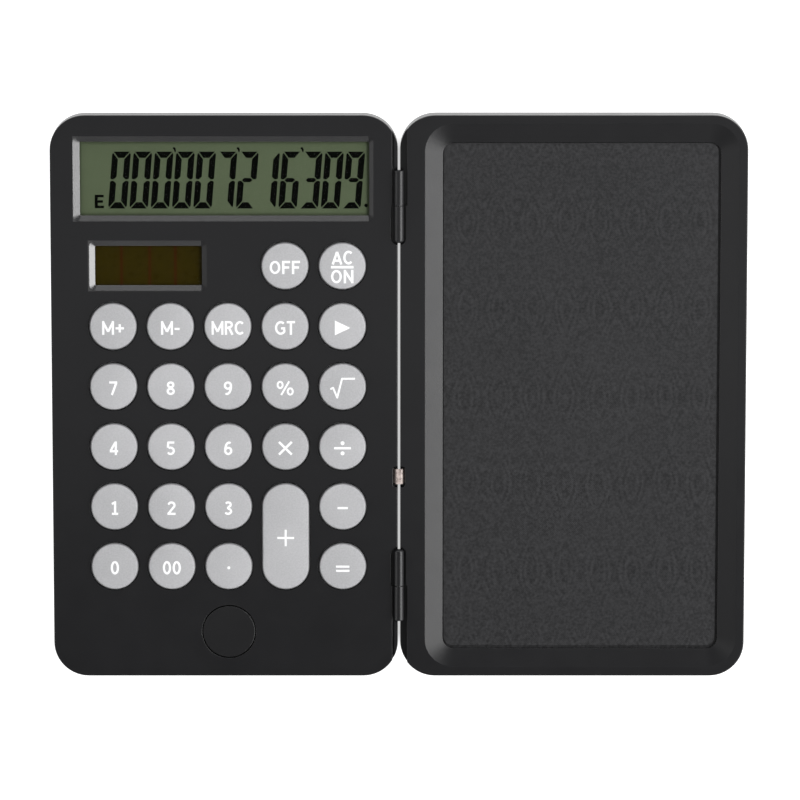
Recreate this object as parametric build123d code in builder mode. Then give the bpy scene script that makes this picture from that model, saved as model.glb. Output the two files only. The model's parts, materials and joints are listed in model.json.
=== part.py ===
"""Folding pocket calculator with a writing tablet in its lid, opened flat.

The calculator half lies on -X, the lid on +X and the hinge line runs along Y. The display end is
+Y. The origin is at the middle of the opened object, on the surface that it rests on.
"""

from build123d import *
from math import cos, radians, sin
import os

os.makedirs("parts", exist_ok=True)

# ---------------------------------------------------------------- driving dimensions, mm
half_width = 99.5
half_length = 163.4
hinge_gap = 0.7
corner_radius = 10.0
face_z = 8.5
parting_z = 3.2
foot_height = 0.5
wall = 1.6
skin = 1.4
face_edge_round = 0.3
back_edge_round = 1.6
lip_height = 1.0
lip_thickness = 0.8
lip_clearance = 0.1

# hinge
axis_z = 8.7
barrel_radius = 1.4
barrel_end_round = 0.95
web_inset = 0.15
pin_radius = 0.6
pin_clearance = 0.06
hinge_middle_y = 0.35
knuckle_inner_y = 44.65
knuckle_seam_y = 55.4
knuckle_outer_y = 65.6
knuckle_seam = 0.15
pin_inset = 1.6
rebate_narrow = 1.95
rebate_wide = 2.35
rebate_start_y = 43.95
rebate_drop = 2.1
ledge_groove = 0.55
ledge_start_y = 66.2
ledge_z = 7.5
hinge_wall = 3.25

# ribbon cable across the hinge
ribbon_y = -23.1
ribbon_width = 4.4
ribbon_thickness = 0.2
ribbon_z = 6.2
ribbon_slot_height = 0.6
notch_size = (3.6, 6.2)
notch_corner = 0.9
notch_floor_z = 6.0

# keys
key_pitch_x = 16.45
key_pitch_y = 17.52
key_column_x = -49.16
key_row_y = 3.3
key_radius = 6.8
key_hole_radius = 7.15
key_flange_radius = 7.7
key_flange_height = 1.1
key_bottom_z = 5.9
key_top_z = 9.5
key_dome_rise = 0.22
key_edge_round = 0.6
key_shell = 1.2
key_post_radius = 2.2
key_wall_clearance = 0.1

# erase button and its switch
erase_y = -68.6
erase_radius = 7.47
erase_hole_radius = 7.87
erase_flange_radius = 8.5
erase_top_z = 8.5
erase_edge_round = 0.12
erase_bottom_z = 6.0
switch_size = 6.0
switch_height = 1.5
plunger_radius = 1.7
plunger_height = 0.3

# display and solar windows, as (centre x, centre y, size x, size y)
display_view = (-49.9, 63.4, 82.8, 21.3)
display_recess = (-50.3, 63.4, 86.0, 24.5)
solar_view = (-71.8, 38.3, 30.6, 11.4)
solar_recess = (-71.93, 38.3, 33.75, 14.5)
window_view_corner = 0.4
window_recess_corner = 1.7
window_seat_z = 7.55
window_lip = 0.2
lens_margin = 1.4
lens_clearance = 0.1
lens_thickness = 0.5
lens_corner = 1.0
glass_gap = 0.1
lcd_glass_thickness = 0.8
lcd_margin = 1.0
solar_thickness = 1.1

# writing tablet, as (centre x, centre y, size x, size y)
pad_film = (52.15, 0.25, 78.6, 146.6)
pad_view = (52.4, -0.12, 79.6, 147.75)
pad_recess = (52.42, 0.2, 89.95, 158.2)
pad_film_corner = 2.6
pad_view_corner = 3.2
pad_recess_corner = 8.0
pad_groove_depth = 0.55
pad_groove_reach = 0.1
pad_z = 6.3
pad_lip = 0.45
panel_margin = 1.8
panel_thickness = 1.0
backing_thickness = 1.2
panel_clearance = 0.1

# electronics
board_z = 3.0
board_thickness = 1.0
mat_thickness = 0.6
dome_base_radius = 3.6
dome_top_radius = 2.4
dome_skin = 0.5
cell_centre = (-76.0, -68.5)
cell_radius = 10.0
cell_height = 3.2

# screws
boss_radius = 1.75
rear_boss_radius = 2.6
screw_radius = 0.85
screw_hole_radius = 0.9
screw_head_radius = 1.7
screw_head_height = 0.9
head_clearance = 0.15
housing_screws = [
    (-75.0, 77.35),
    (-25.0, 77.35),
    (-94.5, -5.45),
    (-7.0, -5.45),
    (-91.5, -73.5),
    (-9.0, -73.5),
]
board_screws_at = [
    (-73.83, 12.06),
    (-24.48, 12.06),
    (-73.83, -22.98),
    (-24.48, -22.98),
    (-48.5, 46.8),
]
feet_at = [(-89.5, 69.5), (-10.7, 69.5), (-89.5, -49.5), (-10.7, -49.5)]
foot_radius = 4.0
foot_recess = 0.4

# ---------------------------------------------------------------- derived sizes
base_x = -(hinge_gap + half_width) / 2
lid_x = -base_x
underside_z = face_z - skin
floor_z = foot_height + skin
rebate_floor_z = axis_z - rebate_drop
cavity_width = half_width - wall - hinge_wall
cavity_length = half_length - 2 * wall
cavity_x = base_x - (hinge_wall - wall) / 2
cavity_corner = corner_radius - wall
board_top_z = board_z + board_thickness
mat_top_z = board_top_z + mat_thickness
boss_foot_z = board_z + 0.05
lens_bottom_z = window_seat_z - lens_thickness
lcd_top_z = lens_bottom_z - glass_gap
lcd_middle_z = lcd_top_z - lcd_glass_thickness
solar_top_z = lens_bottom_z - glass_gap
solar_bottom_z = solar_top_z - solar_thickness
hinge_ends = (1, -1)


def column_x(column):
    """Centre of a key column, 0 at the outer side and 4 at the hinge."""
    return key_column_x + (column - 2) * key_pitch_x


def row_y(row):
    """Centre of a key row, 0 nearest the display."""
    return key_row_y + (2 - row) * key_pitch_y


key_rows = [
    ["", "", "", "key_off", "key_ac_on"],
    ["key_m_plus", "key_m_minus", "key_mrc", "key_gt", "key_check"],
    ["key_7", "key_8", "key_9", "key_percent", "key_root"],
    ["key_4", "key_5", "key_6", "key_multiply", "key_divide"],
    ["key_1", "key_2", "key_3", "", "key_minus"],
    ["key_0", "key_00", "key_point", "", "key_equals"],
]
round_keys = {
    name: (column_x(column), row_y(row))
    for row, names in enumerate(key_rows)
    for column, name in enumerate(names)
    if name
}
plus_centre = (column_x(3), (row_y(4) + row_y(5)) / 2)
dome_centres = [*round_keys.values(), plus_centre]


def finish(builder, name):
    """Label a finished piece and write it."""
    builder.part.label = name
    export_step(builder.part, f"parts/{name}.step")


def rebate_cut(ledge_side, inner_reach, outer_reach):
    """Cutter for the rebates around both hinges, for one half of the object.

    ledge_side is -1 for the calculator half, whose rebate keeps a raised ledge past the
    barrel, and 0 for the lid, whose rebate is deep all the way. The reaches are the rebate's
    half widths beside the inner and the outer knuckle; a half leaves more room round the
    knuckle that belongs to the other half.
    """
    far_y = half_length / 2 + 5.0
    deep_end = ledge_start_y if ledge_side else far_y
    start_y = rebate_start_y + inner_reach
    with BuildPart() as cutter:
        for end in hinge_ends:
            with BuildSketch(Plane.XY.offset(rebate_floor_z)):
                with Locations((0, end * start_y)):
                    Circle(inner_reach)
                with Locations((0, end * (start_y + knuckle_seam_y) / 2)):
                    Rectangle(2 * inner_reach, knuckle_seam_y - start_y)
                with Locations((0, end * (knuckle_seam_y + deep_end) / 2)):
                    Rectangle(2 * outer_reach, deep_end - knuckle_seam_y)
            extrude(amount=face_z)
            if ledge_side:
                middle_y = end * (ledge_start_y + far_y) / 2
                groove_x = ledge_side * (outer_reach - ledge_groove / 2)
                with BuildSketch(Plane.XY.offset(rebate_floor_z)):
                    with Locations((groove_x, middle_y)):
                        Rectangle(ledge_groove, far_y - ledge_start_y)
                extrude(amount=face_z)
                with BuildSketch(Plane.XY.offset(ledge_z)):
                    with Locations((0, middle_y)):
                        Rectangle(2 * outer_reach, far_y - ledge_start_y)
                extrude(amount=face_z)
    return cutter.part.moved(Location((0, hinge_middle_y, 0)))


def knuckles(side, inner_y, outer_y, bore_radius, bore_start, bore_end):
    """Both knuckles of one half, each a round barrel on a web that stands in the rebate.

    side is -1 for the calculator half and 1 for the lid. The barrel's free end is rounded.
    """
    rounded_end = inner_y if side > 0 else outer_y
    end_round = barrel_end_round if side > 0 else barrel_end_round / 3
    with BuildPart() as barrels:
        for end in hinge_ends:
            length = outer_y - inner_y
            middle_y = end * (inner_y + outer_y) / 2
            with BuildSketch(Plane.XY.offset(axis_z)):
                with Locations((barrel_radius / 2, middle_y)):
                    Rectangle(barrel_radius, length)
            revolve(axis=Axis((0, 0, axis_z), (0, 1, 0)))
        free_ends = barrels.edges().filter_by(GeomType.CIRCLE).filter_by(
            lambda edge: abs(abs(edge.center().Y) - rounded_end) < 0.01
        )
        fillet(free_ends, end_round)
        for end in hinge_ends:
            web_start = inner_y + (end_round if side > 0 else 0)
            web_end = outer_y - (0 if side > 0 else end_round)
            with BuildSketch(Plane.XY.offset(rebate_floor_z - 0.2)):
                with Locations((side * (web_inset + barrel_radius) / 2, end * (web_start + web_end) / 2)):
                    Rectangle(barrel_radius - web_inset, web_end - web_start)
            extrude(amount=axis_z - rebate_floor_z + 0.2)
        for end in hinge_ends:
            with BuildSketch(Plane.XY.offset(axis_z)):
                with Locations((bore_radius / 2, end * (bore_start + bore_end) / 2)):
                    Rectangle(bore_radius, bore_end - bore_start)
            revolve(axis=Axis((0, 0, axis_z), (0, 1, 0)), mode=Mode.SUBTRACT)
    return barrels.part.moved(Location((0, hinge_middle_y, 0)))


base_rebate = rebate_cut(-1, rebate_wide, rebate_narrow)
lid_rebate = rebate_cut(0, rebate_narrow, rebate_wide)
pin_start_y = knuckle_inner_y + pin_inset
base_knuckles = knuckles(
    -1,
    knuckle_seam_y + knuckle_seam / 2,
    knuckle_outer_y,
    pin_radius,
    knuckle_seam_y - 1,
    knuckle_outer_y + 1,
)
lid_knuckles = knuckles(
    1,
    knuckle_inner_y,
    knuckle_seam_y - knuckle_seam / 2,
    pin_radius + pin_clearance,
    pin_start_y - 0.1,
    knuckle_seam_y + 1,
)

# ---------------------------------------------------------------- calculator front housing
with BuildPart() as base_front_housing:
    with BuildSketch(Plane.XY.offset(parting_z)):
        with Locations((base_x, 0)):
            RectangleRounded(half_width, half_length, corner_radius)
    extrude(amount=face_z - parting_z)
    fillet(base_front_housing.faces().sort_by(Axis.Z)[-1].edges(), face_edge_round)
    with BuildSketch(Plane.XY.offset(parting_z)):
        with Locations((cavity_x, 0)):
            RectangleRounded(cavity_width, cavity_length, cavity_corner)
    extrude(amount=underside_z - parting_z, mode=Mode.SUBTRACT)
    with BuildSketch(Plane.XY.offset(underside_z)):
        with Locations(*round_keys.values()):
            Circle(key_hole_radius)
        with Locations(plus_centre):
            SlotCenterToCenter(key_pitch_y, 2 * key_hole_radius, rotation=90)
        with Locations((key_column_x, erase_y)):
            Circle(erase_hole_radius)
    extrude(amount=2 * skin, mode=Mode.SUBTRACT)
    for view, recess in ((display_view, display_recess), (solar_view, solar_recess)):
        seat_margin = lens_margin + lens_clearance
        with BuildSketch(Plane.XY.offset(underside_z)):
            with Locations(view[:2]):
                RectangleRounded(
                    view[2] + 2 * seat_margin, view[3] + 2 * seat_margin, lens_corner + lens_clearance
                )
        extrude(amount=window_seat_z - underside_z, mode=Mode.SUBTRACT)
        with BuildSketch(Plane.XY.offset(window_seat_z)):
            with Locations(view[:2]):
                RectangleRounded(*view[2:], window_view_corner)
        extrude(amount=window_lip, mode=Mode.SUBTRACT)
        with BuildSketch(Plane.XY.offset(window_seat_z + window_lip)):
            with Locations(view[:2]):
                RectangleRounded(*view[2:], window_view_corner)
        with BuildSketch(Plane.XY.offset(face_z)):
            with Locations(recess[:2]):
                RectangleRounded(*recess[2:], window_recess_corner)
        loft(mode=Mode.SUBTRACT)
    with BuildSketch(Plane.XY.offset(boss_foot_z)):
        with Locations(*housing_screws):
            Circle(boss_radius)
            Circle(screw_hole_radius, mode=Mode.SUBTRACT)
    extrude(amount=underside_z - boss_foot_z)
    with BuildSketch(Plane.XY.offset(board_top_z)):
        with Locations(*board_screws_at):
            Circle(boss_radius)
            Circle(screw_hole_radius, mode=Mode.SUBTRACT)
    extrude(amount=underside_z - board_top_z)
    add(base_rebate, mode=Mode.SUBTRACT)
    add(base_knuckles)
    with BuildSketch(Plane.XY.offset(notch_floor_z)):
        with Locations((0, ribbon_y)):
            RectangleRounded(*notch_size, notch_corner)
    extrude(amount=face_z, mode=Mode.SUBTRACT)
    with BuildSketch(Plane.XY.offset(notch_floor_z)):
        with Locations((-(hinge_wall + hinge_gap) / 2, ribbon_y)):
            Rectangle(hinge_wall + 0.5, ribbon_width + 0.2)
    extrude(amount=ribbon_slot_height, mode=Mode.SUBTRACT)
finish(base_front_housing, "base_front_housing")

# ---------------------------------------------------------------- calculator rear housing
door_z = foot_height + 0.8
door_centre = (-73.75, -68.0)
door_size = (30.5, 22.0)
door_screw_at = (-61.2, -68.5)
door_tabs_y = (-76.0, -60.0)
well_inner = cell_radius + 0.4
well_outer = cell_radius + 1.3
well_roof_z = door_z + 0.1 + cell_height + 0.4
well_top_z = well_roof_z + 0.8
contact_slot = 4.4
fit_gap = 0.15

with BuildPart() as base_rear_housing:
    with BuildSketch(Plane.XY.offset(foot_height)):
        with Locations((base_x, 0)):
            RectangleRounded(half_width, half_length, corner_radius)
    extrude(amount=parting_z - foot_height)
    fillet(base_rear_housing.faces().sort_by(Axis.Z)[0].edges(), back_edge_round)
    with BuildSketch(Plane.XY.offset(parting_z)):
        with Locations((cavity_x, 0)):
            RectangleRounded(
                cavity_width - 2 * lip_clearance, cavity_length - 2 * lip_clearance, cavity_corner - lip_clearance
            )
    extrude(amount=lip_height)
    lip_inset = lip_clearance + lip_thickness
    with BuildSketch(Plane.XY.offset(floor_z)):
        with Locations((cavity_x, 0)):
            RectangleRounded(cavity_width - 2 * lip_inset, cavity_length - 2 * lip_inset, cavity_corner - lip_inset)
    extrude(amount=parting_z + lip_height - floor_z, mode=Mode.SUBTRACT)
    with BuildSketch(Plane.XY.offset(floor_z)):
        with Locations(*housing_screws):
            Circle(rear_boss_radius)
    extrude(amount=board_z - floor_z)
    with BuildSketch(Plane.XY.offset(floor_z)):
        with Locations(cell_centre):
            Circle(well_outer)
    extrude(amount=well_top_z - floor_z)
    with BuildSketch(Plane.XY.offset(door_z)):
        with Locations(cell_centre):
            Circle(well_inner)
    extrude(amount=well_roof_z - door_z, mode=Mode.SUBTRACT)
    with BuildSketch(Plane.XY.offset(floor_z)):
        with Locations(door_screw_at):
            Circle(boss_radius)
    extrude(amount=board_z - floor_z - 0.05)
    with BuildSketch(Plane.XY.offset(foot_height)):
        with Locations(door_centre):
            RectangleRounded(door_size[0] + 2 * fit_gap, door_size[1] + 2 * fit_gap, 2.0)
    extrude(amount=door_z - foot_height, mode=Mode.SUBTRACT)
    with BuildSketch(Plane.XY.offset(foot_height)):
        with Locations(door_screw_at):
            Circle(screw_hole_radius)
    extrude(amount=board_z - foot_height, mode=Mode.SUBTRACT)
    tab_x = door_centre[0] - door_size[0] / 2
    with BuildSketch(Plane.XY.offset(door_z - 0.45)):
        with Locations(*[(tab_x, y) for y in door_tabs_y]):
            Rectangle(2.4, 3.4)
    extrude(amount=0.5, mode=Mode.SUBTRACT)
    with BuildSketch(Plane.XY.offset(foot_height)):
        with Locations(*housing_screws):
            Circle(screw_head_radius + head_clearance)
    extrude(amount=screw_head_height + 0.3, mode=Mode.SUBTRACT)
    with BuildSketch(Plane.XY.offset(foot_height)):
        with Locations(*housing_screws):
            Circle(screw_radius + head_clearance)
    extrude(amount=parting_z, mode=Mode.SUBTRACT)
    with BuildSketch(Plane.XY.offset(foot_height)):
        with Locations(*feet_at):
            Circle(foot_radius + 0.1)
    extrude(amount=foot_recess, mode=Mode.SUBTRACT)
    with BuildSketch(Plane.XY.offset(board_top_z)):
        with Locations((cell_centre[0] + well_outer, cell_centre[1])):
            Rectangle(4.0, contact_slot)
        with Locations((cell_centre[0], cell_centre[1] + well_outer)):
            Rectangle(contact_slot, 4.0)
    extrude(amount=well_roof_z - board_top_z, mode=Mode.SUBTRACT)
finish(base_rear_housing, "base_rear_housing")

# ---------------------------------------------------------------- battery door, cell and contacts
with BuildPart() as battery_door:
    with BuildSketch(Plane.XY.offset(foot_height)):
        with Locations(door_centre):
            RectangleRounded(*door_size, 1.9)
    extrude(amount=door_z - foot_height)
    with BuildSketch(Plane.XY.offset(door_z - 0.4)):
        with Locations(*[(tab_x, y) for y in door_tabs_y]):
            Rectangle(2.0, 3.0)
    extrude(amount=0.4)
    with BuildSketch(Plane.XY.offset(foot_height)):
        with Locations(*[(cell_centre[0] - 2.0 + 2.0 * n, cell_centre[1]) for n in range(-2, 3)]):
            SlotOverall(9.0, 0.8, rotation=90)
    extrude(amount=0.3, mode=Mode.SUBTRACT)
    with BuildSketch(Plane.XY.offset(foot_height)):
        with Locations(door_screw_at):
            Circle(screw_head_radius + head_clearance)
    extrude(amount=0.45, mode=Mode.SUBTRACT)
    with BuildSketch(Plane.XY.offset(foot_height)):
        with Locations(door_screw_at):
            Circle(screw_radius + head_clearance)
    extrude(amount=door_z, mode=Mode.SUBTRACT)
finish(battery_door, "battery_door")


def cross_recess(points, z, depth, size):
    """Cutter for the cross recesses of screw heads that face -Z."""
    with BuildPart() as cutter:
        with BuildSketch(Plane.XY.offset(z)):
            with Locations(*points):
                Rectangle(size, size / 4)
                Rectangle(size / 4, size)
        extrude(amount=depth)
    return cutter.part


door_screw_cross = cross_recess([door_screw_at], foot_height, 0.25, 1.8)
with BuildPart() as battery_door_screw:
    with BuildSketch(Plane.XY.offset(foot_height + 0.05)):
        with Locations(door_screw_at):
            Circle(screw_head_radius)
    extrude(amount=0.4)
    with BuildSketch(Plane.XY.offset(foot_height + 0.45)):
        with Locations(door_screw_at):
            Circle(screw_radius)
    extrude(amount=board_z - foot_height - 0.6)
    add(door_screw_cross, mode=Mode.SUBTRACT)
finish(battery_door_screw, "battery_door_screw")

cell_z = door_z + 0.1
with BuildPart() as coin_cell:
    with BuildSketch(Plane.XY.offset(cell_z)):
        with Locations(cell_centre):
            Circle(cell_radius)
    extrude(amount=cell_height - 0.3)
    fillet(coin_cell.faces().sort_by(Axis.Z)[0].edges(), 0.4)
    with BuildSketch(Plane.XY.offset(cell_z + cell_height - 0.3)):
        with Locations(cell_centre):
            Circle(cell_radius - 1.1)
    extrude(amount=0.3)
finish(coin_cell, "coin_cell")

strip = 0.2
strip_width = 4.0
board_tongue_x = (-62.4, -30.0)
with BuildPart() as battery_contact_negative:
    strip_start_x = cell_centre[0] - 3.0
    strip_end_x = board_tongue_x[0] + 1.4
    with BuildSketch(Plane.XY.offset(well_roof_z - strip)):
        with Locations(((strip_start_x + strip_end_x) / 2, cell_centre[1])):
            Rectangle(strip_end_x - strip_start_x, strip_width)
    extrude(amount=strip)
    with BuildSketch(Plane.XY.offset(board_top_z)):
        with Locations((strip_end_x - strip / 2, cell_centre[1])):
            Rectangle(strip, strip_width)
    extrude(amount=well_roof_z - board_top_z)
    with BuildSketch(Plane.XY.offset(cell_z + cell_height)):
        with Locations(cell_centre):
            Circle(1.2)
    extrude(amount=well_roof_z - cell_z - cell_height)
finish(battery_contact_negative, "battery_contact_negative")

board_left_edge_y = -55.5
with BuildPart() as battery_contact_positive:
    plate_y = cell_centre[1] + cell_radius + 0.05
    strip_end_y = board_left_edge_y + 0.7
    with BuildSketch(Plane.XY.offset(floor_z)):
        with Locations((cell_centre[0], plate_y + strip / 2)):
            Rectangle(2.6, strip)
    extrude(amount=board_top_z + strip - floor_z)
    with BuildSketch(Plane.XY.offset(board_top_z)):
        with Locations((cell_centre[0], (plate_y + strip_end_y) / 2)):
            Rectangle(2.6, strip_end_y - plate_y)
    extrude(amount=strip)
finish(battery_contact_positive, "battery_contact_positive")

# ---------------------------------------------------------------- screws, feet and hinge pins
head_z = foot_height + 0.3
housing_screw_cross = cross_recess(housing_screws, head_z, 0.4, 2.0)
with BuildPart() as base_screws:
    with BuildSketch(Plane.XY.offset(head_z)):
        with Locations(*housing_screws):
            Circle(screw_head_radius)
    extrude(amount=screw_head_height)
    with BuildSketch(Plane.XY.offset(head_z + screw_head_height)):
        with Locations(*housing_screws):
            Circle(screw_radius)
    extrude(amount=underside_z - 0.4 - head_z - screw_head_height)
    add(housing_screw_cross, mode=Mode.SUBTRACT)
finish(base_screws, "base_screws")

board_head_height = 0.8
board_screw_cross = cross_recess(board_screws_at, board_z - board_head_height, 0.35, 1.9)
with BuildPart() as board_screws:
    with BuildSketch(Plane.XY.offset(board_z - board_head_height)):
        with Locations(*board_screws_at):
            Circle(screw_head_radius)
    extrude(amount=board_head_height)
    with BuildSketch(Plane.XY.offset(board_z)):
        with Locations(*board_screws_at):
            Circle(screw_radius)
    extrude(amount=underside_z - 0.4 - board_z)
    add(board_screw_cross, mode=Mode.SUBTRACT)
finish(board_screws, "board_screws")

with BuildPart() as base_feet:
    with BuildSketch():
        with Locations(*feet_at):
            Circle(foot_radius)
    extrude(amount=foot_height + foot_recess)
    fillet(base_feet.edges().group_by(Axis.Z)[0], 0.3)
finish(base_feet, "base_feet")

with BuildPart() as hinge_pins:
    for end in hinge_ends:
        pin_end_y = knuckle_outer_y - 0.3
        with BuildSketch(Plane.XY.offset(axis_z)):
            with Locations((pin_radius / 2, hinge_middle_y + end * (pin_start_y + pin_end_y) / 2)):
                Rectangle(pin_radius, pin_end_y - pin_start_y)
        revolve(axis=Axis((0, 0, axis_z), (0, 1, 0)))
finish(hinge_pins, "hinge_pins")

# ---------------------------------------------------------------- display and solar cell
with BuildPart() as display_lens:
    with BuildSketch(Plane.XY.offset(lens_bottom_z)):
        with Locations(display_view[:2]):
            RectangleRounded(display_view[2] + 2 * lens_margin, display_view[3] + 2 * lens_margin, lens_corner)
    extrude(amount=lens_thickness)
finish(display_lens, "display_lens")

lcd_width = display_view[2] + 2 * lcd_margin
lcd_top_y = display_view[1] + display_view[3] / 2 + lcd_margin
lcd_foot_y = display_view[1] - display_view[3] / 2 - 1.8
lcd_back_y = lcd_foot_y + 2.8
with BuildPart() as lcd_glass:
    for bottom_z, bottom_y in ((lcd_middle_z, lcd_foot_y), (lcd_middle_z - lcd_glass_thickness, lcd_back_y)):
        with BuildSketch(Plane.XY.offset(bottom_z)):
            with Locations((display_view[0], (bottom_y + lcd_top_y) / 2)):
                Rectangle(lcd_width, lcd_top_y - bottom_y)
        extrude(amount=lcd_glass_thickness)
finish(lcd_glass, "lcd_glass")

with BuildPart() as lcd_connector_strip:
    with BuildSketch(Plane.XY.offset(board_top_z)):
        with Locations((display_view[0], (lcd_foot_y + lcd_back_y) / 2)):
            Rectangle(display_view[2] - 6.0, 1.8)
    extrude(amount=lcd_middle_z - board_top_z)
finish(lcd_connector_strip, "lcd_connector_strip")

with BuildPart() as solar_lens:
    with BuildSketch(Plane.XY.offset(lens_bottom_z)):
        with Locations(solar_view[:2]):
            RectangleRounded(solar_view[2] + 2 * lens_margin, solar_view[3] + 2 * lens_margin, lens_corner)
    extrude(amount=lens_thickness)
finish(solar_lens, "solar_lens")

with BuildPart() as solar_cell:
    with BuildSketch(Plane.XY.offset(solar_bottom_z)):
        with Locations(solar_view[:2]):
            Rectangle(solar_view[2] + 2.0, solar_view[3] + 1.8)
    extrude(amount=solar_thickness)
finish(solar_cell, "solar_cell")

lead_radius = 0.3
with BuildPart() as solar_leads:
    for side in (-1, 1):
        lead_x = solar_view[0] + side * 13.0
        lead_top = (lead_x, solar_view[1] - 2.0, solar_bottom_z)
        with BuildLine() as lead_path:
            FilletPolyline(
                lead_top,
                (lead_x, lead_top[1], board_top_z + 0.7),
                (lead_x, lead_top[1] + 5.0, board_top_z + 0.7),
                (lead_x, lead_top[1] + 5.0, board_top_z),
                radius=0.32,
            )
        with BuildSketch(Plane(origin=lead_top, z_dir=(0, 0, -1))):
            Circle(lead_radius)
        sweep(path=lead_path.wires()[0])
finish(solar_leads, "solar_leads")

# ---------------------------------------------------------------- board, key mat and erase switch
board_edges_x = (-91.6, -10.2)
board_top_y = 74.2
board_bottom_y = -78.6
with BuildPart() as main_board:
    with BuildSketch(Plane.XY.offset(board_z)):
        with Locations(((board_edges_x[0] + board_edges_x[1]) / 2, (board_left_edge_y + board_top_y) / 2)):
            Rectangle(board_edges_x[1] - board_edges_x[0], board_top_y - board_left_edge_y)
        with Locations(((board_tongue_x[0] + board_tongue_x[1]) / 2, (board_bottom_y + board_left_edge_y) / 2)):
            Rectangle(board_tongue_x[1] - board_tongue_x[0], board_left_edge_y - board_bottom_y)
        with Locations(*board_screws_at):
            Circle(screw_radius + head_clearance, mode=Mode.SUBTRACT)
    extrude(amount=board_thickness)
finish(main_board, "main_board")

chip_at = (-50.0, 56.0)
with BuildPart() as processor_chip:
    with BuildSketch(Plane.XY.offset(board_z - 0.9)):
        with Locations(chip_at):
            Circle(3.6)
    with BuildSketch(Plane.XY.offset(board_z)):
        with Locations(chip_at):
            Circle(5.2)
    loft()
    fillet(processor_chip.faces().sort_by(Axis.Z)[0].edges(), 0.5)
finish(processor_chip, "processor_chip")

mat_x = (-91.0, -12.0)
mat_y = (-54.3, 29.6)
upper_mat_x = (-43.0, -12.0)
upper_mat_top_y = 43.8
with BuildPart() as key_mat:
    with BuildSketch(Plane.XY.offset(board_top_z)):
        with Locations(((mat_x[0] + mat_x[1]) / 2, (mat_y[0] + mat_y[1]) / 2)):
            Rectangle(mat_x[1] - mat_x[0], mat_y[1] - mat_y[0])
        with Locations(((upper_mat_x[0] + upper_mat_x[1]) / 2, (mat_y[1] + upper_mat_top_y) / 2)):
            Rectangle(upper_mat_x[1] - upper_mat_x[0], upper_mat_top_y - mat_y[1])
        with Locations(*board_screws_at):
            Circle(boss_radius + 0.3, mode=Mode.SUBTRACT)
    extrude(amount=mat_thickness)
    dome_profile = [
        (0, board_top_z),
        (dome_base_radius, board_top_z),
        (dome_base_radius, mat_top_z),
        (dome_top_radius, key_bottom_z),
        (0, key_bottom_z),
    ]
    hollow_profile = [
        (0, board_top_z),
        (dome_base_radius - dome_skin, board_top_z),
        (dome_base_radius - dome_skin, mat_top_z - 0.1),
        (dome_top_radius - dome_skin, key_bottom_z - dome_skin),
        (1.2, key_bottom_z - dome_skin),
        (1.2, mat_top_z + 0.2),
        (0, mat_top_z + 0.2),
    ]
    for x, y in dome_centres:
        with BuildSketch(Plane((x, y, 0), x_dir=(1, 0, 0), z_dir=(0, -1, 0))):
            with BuildLine():
                Polyline(*dome_profile, close=True)
            make_face()
        revolve(axis=Axis((x, y, 0), (0, 0, 1)))
    for x, y in dome_centres:
        with BuildSketch(Plane((x, y, 0), x_dir=(1, 0, 0), z_dir=(0, -1, 0))):
            with BuildLine():
                Polyline(*hollow_profile, close=True)
            make_face()
        revolve(axis=Axis((x, y, 0), (0, 0, 1)), mode=Mode.SUBTRACT)
finish(key_mat, "key_mat")

switch_top_z = board_top_z + switch_height
with BuildPart() as erase_switch:
    with BuildSketch(Plane.XY.offset(board_top_z)):
        with Locations((key_column_x, erase_y)):
            RectangleRounded(switch_size, switch_size, 0.4)
    extrude(amount=switch_height)
    with BuildSketch(Plane.XY.offset(switch_top_z - 0.9)):
        with Locations((key_column_x, erase_y)):
            Circle(plunger_radius + 0.08)
    extrude(amount=0.9, mode=Mode.SUBTRACT)
finish(erase_switch, "erase_switch")

with BuildPart() as switch_plunger:
    with BuildSketch(Plane.XY.offset(switch_top_z - 0.5)):
        with Locations((key_column_x, erase_y)):
            Circle(plunger_radius)
    extrude(amount=plunger_height + 0.5)
finish(switch_plunger, "switch_plunger")

with BuildPart() as erase_button:
    with BuildSketch(Plane.XY.offset(erase_bottom_z)):
        with Locations((key_column_x, erase_y)):
            Circle(erase_radius)
    extrude(amount=erase_top_z - erase_bottom_z)
    fillet(erase_button.faces().sort_by(Axis.Z)[-1].edges(), erase_edge_round)
    with BuildSketch(Plane.XY.offset(erase_bottom_z)):
        with Locations((key_column_x, erase_y)):
            Circle(erase_flange_radius)
    extrude(amount=underside_z - key_wall_clearance - erase_bottom_z)
    with BuildSketch(Plane.XY.offset(erase_bottom_z)):
        with Locations((key_column_x, erase_y)):
            Circle(erase_radius - key_shell)
            Circle(key_post_radius, mode=Mode.SUBTRACT)
    extrude(amount=erase_top_z - key_shell - erase_bottom_z, mode=Mode.SUBTRACT)
    with BuildSketch(Plane.XY.offset(switch_top_z + plunger_height)):
        with Locations((key_column_x, erase_y)):
            Circle(key_post_radius)
    extrude(amount=erase_bottom_z - switch_top_z - plunger_height)
finish(erase_button, "erase_button")

# ---------------------------------------------------------------- keys
flange_top_z = key_bottom_z + key_flange_height
round_start = key_radius - key_edge_round
edge_z = key_top_z - key_dome_rise
arc_point = (
    round_start + key_edge_round * sin(radians(45)),
    edge_z - key_edge_round + key_edge_round * cos(radians(45)),
)


def key_half_profile():
    """Half of a key's section, from its middle plane out: flange, wall, soft edge, crown."""
    with BuildSketch(Plane.XZ) as section:
        with BuildLine():
            Polyline((0, key_top_z), (0, key_bottom_z), (key_flange_radius, key_bottom_z))
            Polyline(
                (key_flange_radius, key_bottom_z),
                (key_flange_radius, flange_top_z),
                (key_radius, flange_top_z),
                (key_radius, edge_z - key_edge_round),
            )
            ThreePointArc((key_radius, edge_z - key_edge_round), arc_point, (round_start, edge_z))
            ThreePointArc(
                (round_start, edge_z), (round_start / 2, edge_z + 0.75 * key_dome_rise), (0, key_top_z)
            )
        make_face()
    return section.sketch


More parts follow.
